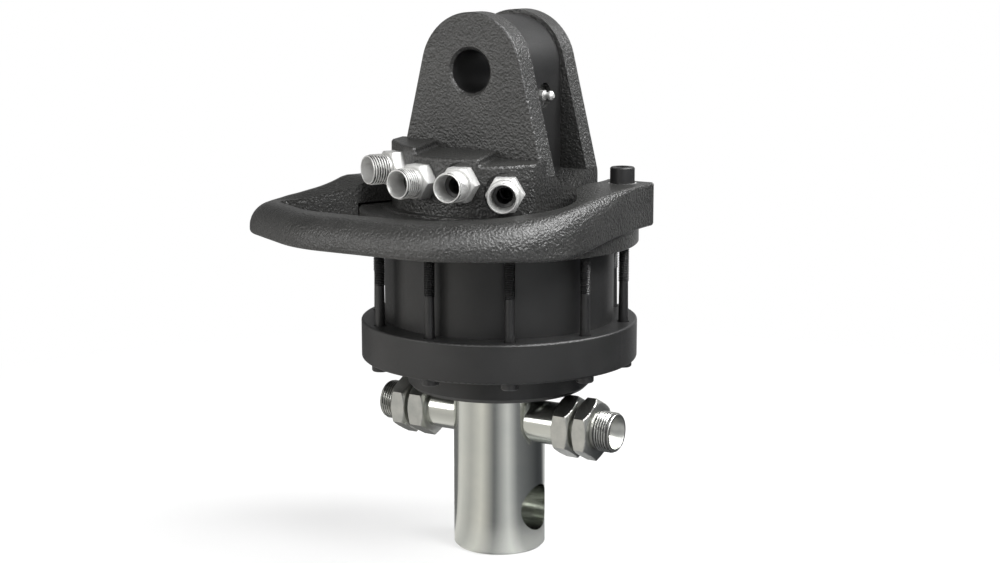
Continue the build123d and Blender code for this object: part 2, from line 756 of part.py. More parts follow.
# Tubes, unions and adapters that carry oil out of the shaft
union_start = tube_end
adapter_start = union_start + union_thickness + union_gap
thread_start = adapter_start + adapter_thickness
hose_thread_end = thread_start + adapter_neck + hose_thread_length
sides = {"right": 1, "left": -1}
for name, side in sides.items():

    def side_plane_at(distance):
        return Plane(origin=(side * distance, 0, hose_axis_z), z_dir=(side, 0, 0), x_dir=(0, 1, 0))

    with BuildPart() as port_tube:
        with BuildSketch(side_plane_at(tube_root)):
            Circle(tube_radius)
            Circle(hose_bore_radius, mode=Mode.SUBTRACT)
        extrude(amount=union_start - tube_root)
        with BuildSketch(side_plane_at(union_start)):
            Circle(hose_thread_radius - 1)
            Circle(hose_bore_radius, mode=Mode.SUBTRACT)
        extrude(amount=union_thickness + union_gap)
    save(port_tube.part, f"port_tube_{name}")

    with BuildPart() as union_nut:
        with BuildSketch(side_plane_at(union_start)):
            RegularPolygon(union_flats / 2, 6, major_radius=False, rotation=30)
            Circle(hose_thread_radius - 1, mode=Mode.SUBTRACT)
        extrude(amount=union_thickness)
    save(union_nut.part, f"union_nut_{name}")

    with BuildPart() as hose_adapter:
        with BuildSketch(side_plane_at(adapter_start)):
            RegularPolygon(union_flats / 2, 6, major_radius=False, rotation=30)
        extrude(amount=adapter_thickness)
        with BuildSketch(side_plane_at(thread_start)):
            Circle(hose_thread_radius - 1.2)
        extrude(amount=adapter_neck)
        with BuildSketch(side_plane_at(thread_start + adapter_neck)):
            Circle(hose_thread_radius)
        extrude(amount=hose_thread_end - thread_start - adapter_neck)
        end_rim = hose_adapter.edges().filter_by(GeomType.CIRCLE).filter_by(
            lambda e: abs(e.radius - hose_thread_radius) < 0.01
        )
        chamfer(end_rim, length=1.0)
        with BuildSketch(side_plane_at(adapter_start)):
            Circle(hose_bore_radius)
        extrude(amount=hose_thread_end - adapter_start, mode=Mode.SUBTRACT)
        with BuildSketch(side_plane_at(hose_thread_end)):
            Circle(hose_cone_radius)
        with BuildSketch(side_plane_at(hose_thread_end - hose_cone_depth)):
            Circle(hose_cone_radius - 2.6)
        loft(mode=Mode.SUBTRACT)
    save(hose_adapter.part, f"hose_adapter_{name}")

# Grease nipple in the web's pocket
nipple_seat = web_radius - nipple_pocket_depth
with BuildPart() as grease_nipple:
    with BuildSketch(Plane.YZ.offset(nipple_seat)):
        with Locations((0, nipple_z)):
            RegularPolygon(nipple_flats / 2, 6, major_radius=False)
    extrude(amount=4)
    with BuildSketch(Plane.XY.offset(nipple_z)):
        with BuildLine():
            Polyline(
                (nipple_seat - 8, 0), (nipple_seat - 8, 3), (nipple_seat, 3), (nipple_seat + 4, 3),
                (nipple_seat + 6, 2.2), (nipple_seat + 7, 2.2), (nipple_seat + 8.4, 3.3),
                (nipple_seat + 10, 3.3), (nipple_seat + 11.5, 1.6), (nipple_seat + 11.5, 0),
                close=True,
            )
        make_face()
    revolve(axis=Axis(origin=(0, 0, nipple_z), direction=(1, 0, 0)))
save(grease_nipple.part, "grease_nipple")

# Hose guard: a cast loop in front of the ports, screwed to the flange on each side


def outer_point(turn):
    """A point of the guard's outer corner, by the angle from the side towards the front."""
    side = guard_side - guard_corner + guard_corner * cos(radians(turn))
    return (side, guard_corner - guard_front - guard_corner * sin(radians(turn)))


def inner_point(turn):
    """A point of the loop's inner corner, by the same angle."""
    side = guard_loop_side - guard_loop_corner + guard_loop_corner * cos(radians(turn))
    return (side, guard_loop_corner - guard_loop_front - guard_loop_corner * sin(radians(turn)))


# The right arm and the bar, section by section from the tab round to the seam with the tip.
# Each section has its inner and outer point, how far its top and bottom lie above the bar's,
# and the width and height of its rounded upper edge.
bezier_quarter = 0.5523
tab_rear = guard_rear + 14
guard_sections = (
    ((guard_tab_inner, tab_rear), (guard_side, tab_rear), 15.8, 6.5, 2.0, 2.0),
    ((guard_tab_inner, 34), (guard_side, 34), 15.8, 6.5, 2.0, 2.0),
    ((guard_tab_inner, 16), (guard_side, 16), 15.8, 6.3, 2.0, 2.0),
    ((guard_tab_inner, -4), (guard_side, -4), 15.5, 5.5, 3.0, 4.0),
    ((80, -26), (guard_side, -34), 13.2, 3.2, 7.0, 12.0),
    ((88, -46), outer_point(13), 9.5, -0.8, 12.0, 20.0),
    (inner_point(31), outer_point(30), 5.5, -1.8, 16.0, 22.0),
    (inner_point(50), outer_point(50), 2.2, 0.2, guard_outer_round, 20.0),
    (inner_point(66), outer_point(70), 0.4, 0, guard_outer_round, 18.5),
    (inner_point(80), outer_point(88), 0, 0, guard_outer_round, guard_outer_round),
    ((-18, -guard_loop_front), (-18, -guard_front), 0, 0, guard_outer_round, guard_outer_round),
    (
        (guard_seam, -guard_loop_front), (guard_seam, -guard_front), 0, 0,
        guard_outer_round, guard_outer_round,
    ),
    (
        (guard_seam - 20, -guard_loop_front), (guard_seam - 20, -guard_front), 0, 0,
        guard_outer_round, guard_outer_round,
    ),
)
with BuildPart() as guard_arm:
    for inner, outer, top, bottom, round_width, round_height in guard_sections:
        along = Vector(outer[0] - inner[0], outer[1] - inner[1], 0)
        width = along.length
        low = guard_bottom + bottom
        high = guard_bar_top + top
        section = Plane(origin=(inner[0], inner[1], 0), x_dir=along, z_dir=(along.Y, -along.X, 0))
        with BuildSketch(section):
            with BuildLine():
                Line((0, low), (width - guard_lower_round, low))
                CenterArc((width - guard_lower_round, low + guard_lower_round), guard_lower_round, -90, 90)
                Line((width, low + guard_lower_round), (width, high - round_height))
                if round_width == round_height:
                    CenterArc((width - round_width, high - round_height), round_width, 0, 90)
                else:
                    Bezier(
                        (width, high - round_height),
                        (width, high - round_height * (1 - bezier_quarter)),
                        (width - round_width * (1 - bezier_quarter), high),
                        (width - round_width, high),
                    )
                Line((width - round_width, high), (0, high))
                Line((0, high), (0, low))
            make_face()
    loft()
    with BuildSketch(Plane.YZ.offset(guard_seam)):
        with Locations((-guard_front, guard_bottom)):
            Rectangle(flange_radius, flange_radius)
    extrude(amount=-flange_radius, mode=Mode.SUBTRACT)

# The tip and the left arm of the guard, drawn in plan and rounded
guard_outline = (
    (guard_seam, -guard_front),
    (guard_shoulder_inset - flange_radius, -guard_front),
    (-flange_radius - guard_tip_reach, guard_tip_inset - flange_radius),
    (-flange_radius - guard_neck_reach, guard_neck_inset - flange_radius),
    (-flange_radius - guard_left_margin, guard_rear),
    (guard_seam, guard_rear),
)
guard_outline_rounds = (0, guard_shoulder_round, guard_tip_round, guard_neck_round, 0, 0)
left_tab_inner = 1 - guard_tab_inner
guard_window = (
    (guard_seam + 10, guard_rear + 30),
    (left_tab_inner - 30, guard_rear + 30),
    (left_tab_inner - 30, guard_rear),
    (left_tab_inner, guard_rear),
    (left_tab_inner, 83.5 - flange_radius),
    (17.5 - flange_radius, 47.5 - flange_radius),
    (-flange_radius - 36.5, 15.5 - flange_radius),
    (14.5 - flange_radius, -guard_loop_front),
    (guard_seam + 10, -guard_loop_front),
)
guard_window_rounds = (0, 0, 0, 10, 10, 10, 6, 60, 0)
rough_window = 64
beyond = 2 * flange_radius


def on_outline(edge):
    """True for an edge of the guard that lies over its outer contour."""
    middle = edge.position_at(0.5)
    upright = abs(edge.tangent_at(0.5).Z) > 0.9
    if upright or middle.Y > guard_rear - 0.1 or middle.X > guard_seam - 0.1:
        return False
    below = Vector(middle.X, middle.Y, guard_contour.center().Z)
    return guard_contour.distance_to(below) < 0.05


with BuildPart() as hose_guard:
    with BuildSketch(Plane.XY.offset(guard_bottom)):
        with BuildLine() as guard_line:
            FilletPolyline(*guard_outline, radius=guard_outline_rounds, close=True)
        make_face()
    extrude(amount=guard_top - guard_bottom)
    guard_contour = guard_line.line
    with BuildSketch(Plane.XY.offset(guard_bottom)):
        with Locations((0, guard_rear - rough_window)):
            Rectangle(2 * rough_window, 2 * rough_window + 16)
    extrude(amount=guard_top - guard_bottom, mode=Mode.SUBTRACT)
    with BuildSketch(Plane.YZ.offset(guard_seam)):
        with BuildLine():
            FilletPolyline(
                (-beyond, guard_bar_top),
                (guard_rise_start, guard_bar_top),
                (guard_rise_end, guard_top + 1),
                (beyond, guard_top + 1),
                (beyond, 2 * guard_top),
                (-beyond, 2 * guard_top),
                radius=(0, guard_rise_round, guard_crest_round, 0, 0, 0),
                close=True,
            )
        make_face()
    extrude(amount=-beyond, mode=Mode.SUBTRACT)
    top_rim = hose_guard.edges().filter_by(on_outline).filter_by(
        lambda e: e.center().Z > guard_bottom + 2
    )
    fillet(top_rim, radius=guard_outer_round)
    with BuildSketch(Plane.YZ.offset(guard_seam)):
        with BuildLine():
            FilletPolyline(
                (-beyond, guard_bottom),
                (guard_foot_start, guard_bottom),
                (guard_foot_end, guard_bottom + guard_foot_rise),
                (beyond, guard_bottom + guard_foot_rise),
                (beyond, 0),
                (-beyond, 0),
                radius=(0, guard_crest_round, guard_rise_round, 0, 0, 0),
                close=True,
            )
        make_face()
    extrude(amount=-beyond, mode=Mode.SUBTRACT)
    foot_rim = hose_guard.edges().filter_by(on_outline).filter_by(
        lambda e: e.center().Z < guard_bottom + 1 and e.center().Y < guard_foot_start - 9
    )
    fillet(foot_rim, radius=guard_lower_round)
    with BuildSketch(Plane.XY.offset(guard_bottom - 1)):
        with BuildLine():
            FilletPolyline(*guard_window, radius=guard_window_rounds, close=True)
        make_face()
    extrude(amount=guard_top - guard_bottom + 2, mode=Mode.SUBTRACT)
    add(guard_arm.part)
    with BuildSketch(Plane.XY.offset(stator_top)):
        Circle(flange_radius + guard_flange_gap)
    extrude(amount=flange_height, mode=Mode.SUBTRACT)
    with BuildSketch(Plane.XZ.offset(-guard_rear)):
        Rectangle(4 * flange_radius, 4 * flange_top)
    extrude(amount=-guard_rear, mode=Mode.SUBTRACT)
    for side in (-1, 1):
        with BuildSketch(Plane.XY.offset(guard_bottom)):
            with Locations((side * guard_screw_x, guard_screw_y)):
                Circle(guard_screw_radius + guard_hole_gap)
        extrude(amount=guard_top - guard_bottom, mode=Mode.SUBTRACT)
        with BuildSketch(Plane.XY.offset(guard_seat)):
            with Locations((side * guard_screw_x, guard_screw_y)):
                Circle(spot_face_radius)
        extrude(amount=2 * spot_face_radius, mode=Mode.SUBTRACT)
save(hose_guard.part, "hose_guard")

# Guard screws
for name, side in sides.items():
    with BuildPart() as guard_screw:
        with BuildSketch(Plane.XY.offset(flange_top - guard_screw_grip)):
            with Locations((side * guard_screw_x, guard_screw_y)):
                Circle(guard_screw_radius)
        extrude(amount=guard_seat - flange_top + guard_screw_grip)
        with BuildSketch(Plane.XY.offset(guard_seat)):
            with Locations((side * guard_screw_x, guard_screw_y)):
                Circle(guard_screw_head)
        extrude(amount=guard_screw_head_height)
        chamfer(guard_screw.edges().group_by(Axis.Z)[-1], length=0.8)
        with BuildSketch(Plane.XY.offset(guard_seat + guard_screw_head_height)):
            with Locations((side * guard_screw_x, guard_screw_y)):
                RegularPolygon(guard_screw_head * socket_share, 6, major_radius=True)
        extrude(amount=-guard_screw_radius, mode=Mode.SUBTRACT)
    save(guard_screw.part, f"guard_screw_{name}")
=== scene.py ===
"""Looks of a hydraulic grapple rotator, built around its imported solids.

The scene is in metres. Fittings and screws are drawn in millimetres, by radius and height along
their own axis, and placed() brings them into the scene.
"""
import json
import math

import bmesh
import bpy
from mathutils import Matrix, Vector


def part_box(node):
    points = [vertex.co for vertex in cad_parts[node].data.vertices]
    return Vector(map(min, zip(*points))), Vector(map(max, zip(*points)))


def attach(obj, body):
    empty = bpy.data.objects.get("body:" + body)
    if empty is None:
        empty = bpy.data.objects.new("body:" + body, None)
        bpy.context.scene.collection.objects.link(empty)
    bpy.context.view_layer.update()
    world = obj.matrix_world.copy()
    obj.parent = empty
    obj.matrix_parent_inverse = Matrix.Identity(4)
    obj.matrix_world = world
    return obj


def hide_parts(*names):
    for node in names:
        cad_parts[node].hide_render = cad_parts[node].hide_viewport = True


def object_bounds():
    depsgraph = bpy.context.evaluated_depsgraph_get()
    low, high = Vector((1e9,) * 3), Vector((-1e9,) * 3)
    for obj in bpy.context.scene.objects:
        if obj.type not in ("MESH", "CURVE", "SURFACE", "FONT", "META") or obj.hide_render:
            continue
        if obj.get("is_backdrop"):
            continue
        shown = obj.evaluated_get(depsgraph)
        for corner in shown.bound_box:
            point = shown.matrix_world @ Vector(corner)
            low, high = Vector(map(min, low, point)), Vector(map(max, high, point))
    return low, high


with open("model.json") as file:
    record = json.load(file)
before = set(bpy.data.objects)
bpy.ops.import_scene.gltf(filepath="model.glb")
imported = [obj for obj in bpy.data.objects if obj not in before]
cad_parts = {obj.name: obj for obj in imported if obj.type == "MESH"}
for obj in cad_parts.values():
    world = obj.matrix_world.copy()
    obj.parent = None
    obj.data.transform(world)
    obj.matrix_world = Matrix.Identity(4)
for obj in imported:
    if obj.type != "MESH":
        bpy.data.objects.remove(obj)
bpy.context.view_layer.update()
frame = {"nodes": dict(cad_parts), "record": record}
nodes = frame["nodes"]
MM = 0.001

# Cloths and walls of light round the studio: turn about Z, brightness, warmth

CLOTHS = (
    (0.0, 0.85, 1.0),
    (0.04, 1.0, 1.0),
    (0.1375, 0.66, 1.0),
    (0.218, 0.98, 1.5),
    (0.304, 0.20, -1.0),
    (0.393, 0.94, 0.0),
    (0.46, 0.26, -1.0),
    (0.63, 0.07, -2.0),
    (0.69, 0.09, -2.0),
    (0.75, 0.80, 0.0),
    (0.81, 0.60, 0.0),
    (0.89, 0.22, 0.0),
)
RED_PER_WARMTH = 0.02
BLUE_PER_WARMTH = 0.04


def cloth_colour(level, warmth):
    """A grey of this brightness, which warmth turns to yellow, or to blue when it is negative."""
    return (level * (1 + RED_PER_WARMTH * warmth), level, level * (1 - BLUE_PER_WARMTH * warmth))


# Shader nodes

WHITE = (1.0, 1.0, 1.0, 1.0)
NOISE_LOW = 0.3
NOISE_HIGH = 0.7
FINE_DEPTH = 0.0003


def grey(level):
    return (level, level, level)


class Nodes:
    """A node tree with short calls for what the materials and the world share."""

    def __init__(self, tree):
        self.tree = tree

    def add(self, kind, **values):
        node = self.tree.nodes.new(kind)
        for key, value in values.items():
            setattr(node, key, value)
        return node

    def link(self, source, target):
        self.tree.links.new(source, target)

    def ramp(self, source, stops):
        """A colour by a value, from stops of a value and its colour."""
        node = self.add("ShaderNodeValToRGB")
        elements = node.color_ramp.elements
        while len(elements) < len(stops):
            elements.new(0.5)
        for element, (place, colour) in zip(elements, stops):
            element.position = place
            element.color = (*colour, 1.0)
        self.link(source, node.inputs["Fac"])
        return node.outputs["Color"]

    def remap(self, source, low, high, start, end):
        """A value that goes from low to high while its source goes from start to end."""
        node = self.add("ShaderNodeMapRange")
        node.inputs["From Min"].default_value = start
        node.inputs["From Max"].default_value = end
        node.inputs["To Min"].default_value = low
        node.inputs["To Max"].default_value = high
        self.link(source, node.inputs["Value"])
        return node.outputs["Result"]

    def math(self, operation, first, second):
        node = self.add("ShaderNodeMath", operation=operation)
        self.link(first, node.inputs[0])
        self.link(second, node.inputs[1])
        return node.outputs["Value"]

    def blend(self, share, first, second):
        """A mix of two shaders: the first where the share is 0, the second where it is 1."""
        node = self.add("ShaderNodeMixShader")
        self.link(share, node.inputs["Fac"])
        self.link(first, node.inputs[1])
        self.link(second, node.inputs[2])
        return node.outputs["Shader"]

    def cloths(self, place):
        """The colour of the cloth that hangs where a place points to, seen from the Z axis."""
        gradient = self.add("ShaderNodeTexGradient", gradient_type="RADIAL")
        self.link(place, gradient.inputs["Vector"])
        stops = [(turn, cloth_colour(level, warmth)) for turn, level, warmth in CLOTHS]
        return self.ramp(gradient.outputs["Fac"], stops)


class Shader(Nodes):
    """A material whose textures lie in the object's own space."""

    def __init__(self, name, **values):
        self.material = bpy.data.materials.new(name)
        self.material.use_nodes = True
        super().__init__(self.material.node_tree)
        self.surface = self.tree.nodes["Principled BSDF"]
        self.object_place = self.add("ShaderNodeTexCoord").outputs["Object"]
        for key, value in values.items():
            self.surface.inputs[key.replace("_", " ")].default_value = value

    def scaled(self, factors):
        node = self.add("ShaderNodeMapping")
        node.inputs["Scale"].default_value = factors
        self.link(self.object_place, node.inputs["Vector"])
        return node.outputs["Vector"]

    def noise(self, scale, detail, roughness, place=None):
        node = self.add("ShaderNodeTexNoise")
        node.inputs["Scale"].default_value = scale
        node.inputs["Detail"].default_value = detail
        node.inputs["Roughness"].default_value = roughness
        self.link(place or self.object_place, node.inputs["Vector"])
        return node.outputs["Fac"]

    def cells(self, scale):
        """Soft round lumps of much the same size."""
        node = self.add("ShaderNodeTexVoronoi", feature="SMOOTH_F1")
        node.inputs["Scale"].default_value = scale
        node.inputs["Smoothness"].default_value = 1.0
        self.link(self.object_place, node.inputs["Vector"])
        return node.outputs["Distance"]

    def colour(self, tone, dark, light):
        """Base colour from dark to light over the middle of a noise's values."""
        stops = [(NOISE_LOW, dark), (NOISE_HIGH, light)]
        self.link(self.ramp(tone, stops), self.surface.inputs["Base Color"])

    def roughness(self, grain, low, high):
        """Roughness from low to high over the middle of a noise's values."""
        self.link(self.remap(grain, low, high, NOISE_LOW, NOISE_HIGH), self.surface.inputs["Roughness"])

    def bump(self, height, strength, distance, before=None):
        """Relief on the surface, laid over an earlier relief where one is given."""
        node = self.add("ShaderNodeBump")
        node.inputs["Strength"].default_value = strength
        node.inputs["Distance"].default_value = distance
        self.link(height, node.inputs["Height"])
        if before is not None:
            self.link(before, node.inputs["Normal"])
        self.link(node.outputs["Normal"], self.surface.inputs["Normal"])
        return node.outputs["Normal"]


# Materials


def cast_paint():
    """Satin black paint over a sand-cast skin: grain and lumps over a slow unevenness."""
    s = Shader("black_cast_paint", Metallic=0.0, Specular_IOR_Level=0.6)
    tone = s.noise(scale=38.0, detail=4.0, roughness=0.55)
    s.colour(tone, (0.014, 0.014, 0.0135), (0.023, 0.023, 0.022))
    grain = s.noise(scale=720.0, detail=2.5, roughness=0.6)
    lumps = s.cells(scale=520.0)
    s.roughness(grain, low=0.28, high=0.40)
    skin = s.bump(s.math("ADD", grain, lumps), strength=0.80, distance=0.00075)
    waves = s.noise(scale=90.0, detail=2.0, roughness=0.5)
    s.bump(waves, strength=0.12, distance=0.002, before=skin)
    return s.material


def smooth_paint(name, dark, light, roughness):
    """Satin black paint over a turned face."""
    s = Shader(name, Metallic=0.0, Specular_IOR_Level=0.5)
    s.colour(s.noise(scale=25.0, detail=4.0, roughness=0.6), dark, light)
    grain = s.noise(scale=900.0, detail=2.0, roughness=0.5)
    s.roughness(grain, low=roughness - 0.04, high=roughness + 0.06)
    s.bump(grain, strength=0.10, distance=FINE_DEPTH)
    return s.material


def plated(name, dark, light, roughness, metallic=1.0):
    """Zinc-plated or galvanised steel with faint clouding."""
    s = Shader(name, Metallic=metallic)
    s.colour(s.noise(scale=110.0, detail=5.0, roughness=0.6), dark, light)
    grain = s.noise(scale=700.0, detail=3.0, roughness=0.6)
    s.roughness(grain, low=roughness - 0.06, high=roughness + 0.08)
    s.bump(grain, strength=0.06, distance=FINE_DEPTH)
    return s.material


def turned(name, dark, light, roughness):
    """Turned steel: a noise that is short along Z leaves fine marks round the axis."""
    s = Shader(name, Metallic=1.0)
    marks_place = s.scaled((40.0, 40.0, 2600.0))
    marks = s.noise(scale=1.0, detail=3.0, roughness=0.6, place=marks_place)
    s.colour(s.noise(scale=30.0, detail=4.0, roughness=0.6), dark, light)
    s.roughness(marks, low=roughness - 0.05, high=roughness + 0.06)
    s.bump(marks, strength=0.05, distance=0.0002)
    return s.material


def plain(name, light, roughness, metallic=0.0):
    """An even material with a faint grain."""
    s = Shader(name, Metallic=metallic)
    grain = s.noise(scale=500.0, detail=3.0, roughness=0.55)
    dark = tuple(0.88 * part for part in light)
    s.colour(grain, dark, light)
    s.roughness(grain, low=roughness - 0.05, high=roughness + 0.05)
    s.bump(grain, strength=0.05, distance=FINE_DEPTH)
    return s.material


cast_black = cast_paint()
turned_black = smooth_paint("black_turned_paint", grey(0.007), grey(0.012), 0.44)
bolt_black = smooth_paint("black_oxide", (0.009, 0.009, 0.0095), grey(0.015), 0.38)
bright_zinc = plated("bright_zinc", (0.50, 0.50, 0.49), (0.64, 0.64, 0.63), 0.46, metallic=0.7)
grey_zinc = plated("grey_zinc", (0.42, 0.43, 0.41), (0.56, 0.56, 0.53), 0.34)
# Dark zinc that paints shade into thread valleys and the deep part of bores, where little light reaches
painted_shade_zinc = plated("zinc_with_painted_shade", grey(0.035), (0.06, 0.06, 0.058), 0.50, metallic=0.5)
shaft_steel = turned("shaft_steel", (0.57, 0.59, 0.56), (0.63, 0.64, 0.60), 0.16)

LOOKS = {
    "black_cast": cast_black,
    "black_turned": turned_black,
    "black_steel": bolt_black,
    "bright_zinc": bright_zinc,
    "grey_zinc": grey_zinc,
    "machined_steel": shaft_steel,
    "spring_steel": plain("spring_steel", (0.25, 0.27, 0.32), 0.3, metallic=1.0),
    "bronze": plain("bearing_bronze", (0.62, 0.42, 0.18), 0.35, metallic=1.0),
    "bearing_steel": plain("bearing_steel", (0.70, 0.71, 0.73), 0.16, metallic=1.0),
    "cast_iron": plain("vane_iron", (0.36, 0.36, 0.37), 0.32, metallic=1.0),
    "seal_rubber": plain("seal_rubber", grey(0.022), 0.62),
}
slot_of = {part["node"]: part["material_slot"] for part in frame["record"]["subparts"]}
for name, node in nodes.items():
    node.data.materials.clear()
    node.data.materials.append(LOOKS[slot_of[name]])

# The pin bore and the web between the ears are machined, so their paint is smooth

PIN_HEIGHT = 0.361
PIN_BORE_RADIUS = 0.0157
PIN_BORE_TOLERANCE = 0.0005
WEB_RADIUS = 0.0387
WEB_TOLERANCE = 0.0004
WEB_HALF_WIDTH = 0.0228


def is_machined(centre):
    """Whether a face of the head with this centre is in the pin bore or on the web."""
    from_pin = math.hypot(centre.x, centre.z - PIN_HEIGHT)
    from_web = from_pin if centre.z > PIN_HEIGHT else abs(centre.x)
    in_bore = abs(from_pin - PIN_BORE_RADIUS) < PIN_BORE_TOLERANCE
    on_web = abs(from_web - WEB_RADIUS) < WEB_TOLERANCE and abs(centre.y) < WEB_HALF_WIDTH
    return in_bore or on_web


head_mesh = nodes["head"].data
head_mesh.materials.append(turned_black)
for polygon in head_mesh.polygons:
    if is_machined(polygon.center):
        polygon.material_index = 1

# Meshes from rings: each ring is a list of (radius, height) pairs, one for each step round the axis

UP = (0, 0, 1)
CHAMFER_STEPS = 5
HEX_FACE_SHARE = 0.96
THREAD_PITCH = 2.0
FADE_TURNS = 0.6
RUN_OUT_SHARE = 0.9
FLANK_SLOPE = 1.25
CREST_FLAT = 0.12


def placed(origin, axis, across):
    """A matrix for millimetres, whose Z runs along axis and whose X lies towards across."""
    z = Vector(axis).normalized()
    x = (Vector(across) - z * Vector(across).dot(z)).normalized()
    y = z.cross(x)
    matrix = Matrix((x, y, z)).transposed().to_4x4()
    matrix.translation = Vector(origin)
    return matrix @ Matrix.Scale(MM, 4)


def add_skin(mesh, rings, place, closed=True):
    """Joins rings into one skin, which either closes on its first ring or ends in two lids."""
    count = len(rings[0])
    made = []
    for ring in rings:
        row = []
        for i, (radius, height) in enumerate(ring):
            angle = 2 * math.pi * i / count
            point = Vector((radius * math.cos(angle), radius * math.sin(angle), height))
            row.append(mesh.verts.new(place @ point))
        made.append(row)
    pairs = list(zip(made, made[1:]))
    if closed:
        pairs.append((made[-1], made[0]))
    for lower, upper in pairs:
        for i in range(count):
            j = (i + 1) % count
            mesh.faces.new((lower[i], lower[j], upper[j], upper[i]))
    if not closed:
        mesh.faces.new(list(reversed(made[0])))
        mesh.faces.new(made[-1])


def shade_deep(mesh, place, is_deep):
    """Paints shade: gives the second material, a dark zinc, to the faces that lie deep, told by their
    radius and height.
    """
    inverse = place.inverted()
    for face in mesh.faces:
        centre = inverse @ face.calc_center_median()
        if is_deep(math.hypot(centre.x, centre.y), centre.z):
            face.material_index = 1


def finish_mesh(mesh, name, material, body, smooth_angle=32.0):
    """Makes an object that rides on a body. Its edges are sharp from an angle in degrees."""
    bmesh.ops.recalc_face_normals(mesh, faces=mesh.faces)
    data = bpy.data.meshes.new(name)
    mesh.to_mesh(data)
    mesh.free()
    obj = bpy.data.objects.new(name, data)
    bpy.context.scene.collection.objects.link(obj)
    data.materials.append(material)
    # Faces marked deep take the dark zinc of painted shade as a second material
    if any(polygon.material_index for polygon in data.polygons):
        data.materials.append(painted_shade_zinc)
    data.shade_smooth()
    data.set_sharp_from_angle(angle=math.radians(smooth_angle))
    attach(obj, body)
    return obj


def lathe(count, profile):
    """Round rings for each radius and height of a profile."""
    return [[(radius, height)] * count for radius, height in profile]


def hex_radius(angle, flats, turn):
    """Distance from the axis to a hexagon's side, with a corner at the turn angle."""
    sector = math.radians(60)
    off = (angle - turn) % sector - sector / 2
    return flats / 2 / math.cos(off)


def hex_ring(count, flats, height, limit=math.inf, turn=0.0):
    """A ring that follows a hexagon, kept inside a radius as a lathe's chamfer leaves it."""
    ring = []
    for i in range(count):
        side = hex_radius(2 * math.pi * i / count, flats, turn)
        ring.append((min(side, limit), height))
    return ring


def hex_body(count, flats, low, high, chamfer, turn=0.0, bottom=True):
    """Rings of a hexagonal body with a turned chamfer on its top and, if wanted, its bottom."""
    corner = flats / 2 / math.cos(math.radians(30))
    inner = flats / 2 * HEX_FACE_SHARE
    shares = [step / CHAMFER_STEPS for step in range(CHAMFER_STEPS + 1)]
    if bottom:
        rings = [
            hex_ring(count, flats, low + chamfer * share, inner + (corner - inner) * share, turn)
            for share in shares
        ]
    else:
        rings = [hex_ring(count, flats, low, corner, turn)]
    rings += [
        hex_ring(count, flats, high - chamfer * share, inner + (corner - inner) * share, turn)
        for share in reversed(shares)
    ]
    return rings


def thread_rings(count, start, end, outer, depth, pitch=THREAD_PITCH, steps=6):
    """Rings of an outside thread between two heights, faded in and out."""
    fade_length = FADE_TURNS * pitch
    run_out = RUN_OUT_SHARE * depth
    rows = int((end - start) / pitch * steps)
    rings = []
    for row in range(rows + 1):
        height = start + (end - start) * row / rows
        fade = min(1.0, (height - start) / fade_length, (end - height) / fade_length)
        ring = []
        for i in range(count):
            phase = (height / pitch - i / count) % 1.0
            from_crest = abs(phase - 0.5) * 2.0
            cut = depth * min(1.0, max(0.0, FLANK_SLOPE * from_crest - CREST_FLAT))
            ring.append((outer - cut * fade - (1 - fade) * run_out, height))
        rings.append(ring)
    return rings


def in_valley(radius, height, ends, valleys):
    """Whether a face lies in a thread's valleys, by the thread's ends and the valleys' radii."""
    return ends[0] < height < ends[1] and valleys[0] < radius < valleys[1]


def from_mouth(end, profile):
    """Turns the depths of a profile below the mouth into heights."""
    return [(radius, end - depth) for radius, depth in profile]


# Upper adapters: their axes fan out from a point on the Y axis, by angle in degrees and height

PORT_FAN_Y = 28.0
PORT_SEAT_RADIUS = 78.2
PORTS = ((-26.0, 291.8), (-9.0, 285.5), (9.0, 285.5), (26.0, 279.0))
PORT_STEPS = 96
PORT_STUD_RADIUS = 10.4
PORT_STUD_LENGTH = 12.0
PORT_FLATS = 24.0
PORT_HEX_HEIGHT = 11.0
PORT_HEX_CHAMFER = 1.5
PORT_HEX_TURN = math.radians(30)
PORT_NECK_RADIUS = 9.8
PORT_NECK_END = 12.9
PORT_THREAD_ENDS = (13.2, 25.7)
PORT_THREAD_RADIUS = 11.0
PORT_THREAD_DEPTH = 1.05
PORT_VALLEYS = (9.5, 10.4)
PORT_LENGTH = 26.5
PORT_CONE_RADIUS = 9.3
PORT_BORE_RADIUS = 5.8
PORT_SHADE_HEIGHT = 15.0

# From the mouth inwards, as radius and depth: rim, sealing cone, its foot, and the step to the bore
PORT_MOUTH = (
    (10.35, 0.4),
    (10.05, 0.0),
    (9.5, 0.0),
    (PORT_CONE_RADIUS, 0.3),
    (8.35, 15.7),
    (8.0, 16.1),
    (5.9, 16.7),
    (PORT_BORE_RADIUS, 17.1),
)


def port_seat(angle):
    """Distance from the fan's centre, along a port's axis, to the cylinder of the seats."""
    side = PORT_FAN_Y * math.sin(angle)
    return PORT_FAN_Y * math.cos(angle) + math.sqrt(PORT_SEAT_RADIUS ** 2 - side ** 2)


def port_adapter_rings():
    """Rings along the outside of an adapter, from its stud to its mouth, and back through its bore."""
    stud = ((PORT_STUD_RADIUS, -PORT_STUD_LENGTH), (PORT_STUD_RADIUS, 0.0))
    neck = ((PORT_NECK_RADIUS, PORT_HEX_HEIGHT), (PORT_NECK_RADIUS, PORT_NECK_END))
    rings = lathe(PORT_STEPS, stud)
    rings += hex_body(PORT_STEPS, PORT_FLATS, 0.0, PORT_HEX_HEIGHT, PORT_HEX_CHAMFER,
                      turn=PORT_HEX_TURN, bottom=False)
    rings += lathe(PORT_STEPS, neck)
    rings += thread_rings(PORT_STEPS, *PORT_THREAD_ENDS, PORT_THREAD_RADIUS, PORT_THREAD_DEPTH)
    rings += lathe(PORT_STEPS, from_mouth(PORT_LENGTH, PORT_MOUTH))
    rings += lathe(PORT_STEPS, [(PORT_BORE_RADIUS, -PORT_STUD_LENGTH)])
    return rings
